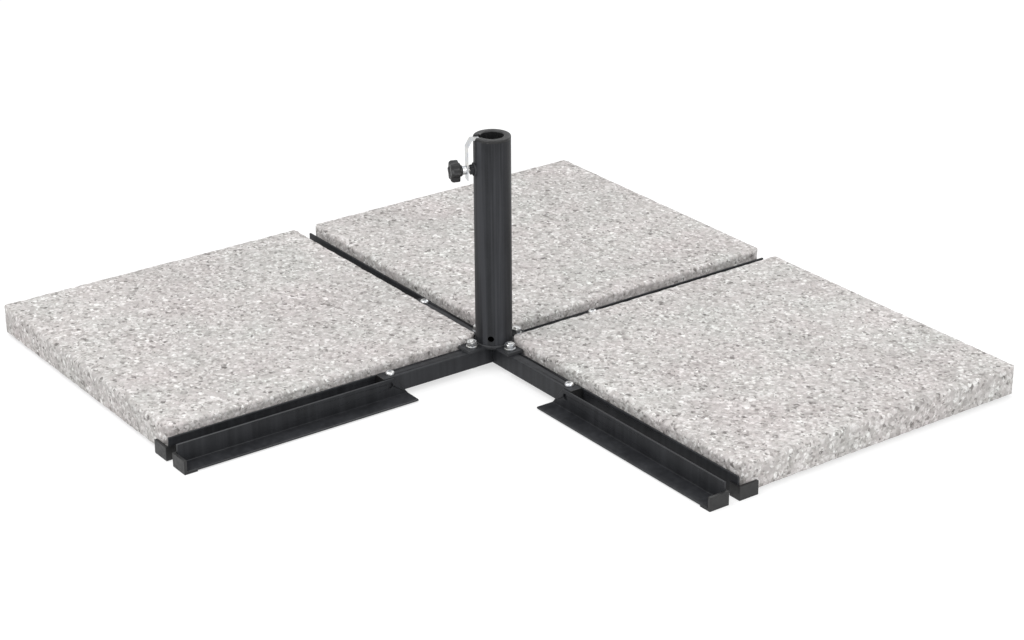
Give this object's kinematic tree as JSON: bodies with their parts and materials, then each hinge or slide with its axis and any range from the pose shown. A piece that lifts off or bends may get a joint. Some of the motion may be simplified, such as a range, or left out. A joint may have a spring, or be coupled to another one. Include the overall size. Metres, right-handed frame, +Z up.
{
  "type": "parasol base",
  "caption": "Cross-frame parasol base: bolted angle-rail arms hold square stone slabs around an upright pole tube with a screw clamp; one bay is left open.",
  "frame": {"origin": "on the ground under the axis of the pole tube, at the centre of the cross frame", "axes": "+Z up along the pole tube; +X and -Y along the two arms beside the open bay, +Y and -X along the other two arms"},
  "size_m": [1.0356, 1.0356, 0.342],
  "materials": {
    "powder_coat": "satin anthracite powder coat",
    "zinc": "bright zinc plate",
    "black_plastic": "fine grained black polyamide",
    "granite": "light grey speckled granite"
  },
  "bodies": {
    "frame": {"centre_tube": "powder_coat", "foot_plate": "powder_coat", "cross_beam_lower": "powder_coat", "cross_beam_upper": "powder_coat", "beam_plugs": "black_plastic", "rail_right_front": "powder_coat", "rail_right_rear": "powder_coat", "rail_rear_right": "powder_coat", "rail_rear_left": "powder_coat", "rail_left_rear": "powder_coat", "rail_left_front": "powder_coat", "rail_front_left": "powder_coat", "rail_front_right": "powder_coat", "bridge_right": "powder_coat", "bridge_rear": "powder_coat", "bridge_left": "powder_coat", "bridge_front": "powder_coat", "shoe_right_front": "black_plastic", "shoe_right_rear": "black_plastic", "shoe_rear_right": "black_plastic", "shoe_rear_left": "black_plastic", "shoe_left_rear": "black_plastic", "shoe_left_front": "black_plastic", "shoe_front_left": "black_plastic", "shoe_front_right": "black_plastic", "frame_bolts": "zinc", "frame_washers": "zinc", "frame_nuts": "zinc", "clamp_weld_nut": "powder_coat"},
    "slab_right_rear_body": {"slab_right_rear": "granite"},
    "slab_left_rear_body": {"slab_left_rear": "granite"},
    "slab_left_front_body": {"slab_left_front": "granite"},
    "insert": {"pole_insert": "black_plastic"},
    "clamp_leaf": {"clamp_strip": "zinc"},
    "knob": {"clamp_screw": "zinc", "star_knob": "black_plastic"}
  },
  "joints": [
    {"name": "slab_right_rear_lift", "type": "slide", "parent": "frame", "child": "slab_right_rear_body", "axis": [0, 0, 1], "range_m": [0, 0.06]},
    {"name": "slab_left_rear_lift", "type": "slide", "parent": "frame", "child": "slab_left_rear_body", "axis": [0, 0, 1], "range_m": [0, 0.06]},
    {"name": "slab_left_front_lift", "type": "slide", "parent": "frame", "child": "slab_left_front_body", "axis": [0, 0, 1], "range_m": [0, 0.06]},
    {"name": "insert_lift", "type": "slide", "parent": "frame", "child": "insert", "axis": [0, 0, 1], "range_m": [0, 0.04]},
    {"name": "clamp_feed", "type": "slide", "parent": "frame", "child": "clamp_leaf", "axis": [0.342, 0.9397, 0], "range_m": [0, 0.0025]},
    {"name": "knob_turn", "type": "hinge", "parent": "clamp_leaf", "child": "knob", "pos_m": [-0.01881, -0.05168, 0.295], "axis": [0.342, 0.9397, 0], "range_deg": [0, 720]}
  ],
  "couplings": [
    {"joint": "knob_turn", "follows": "clamp_feed", "rad_per_m": 5026.5}
  ]
}
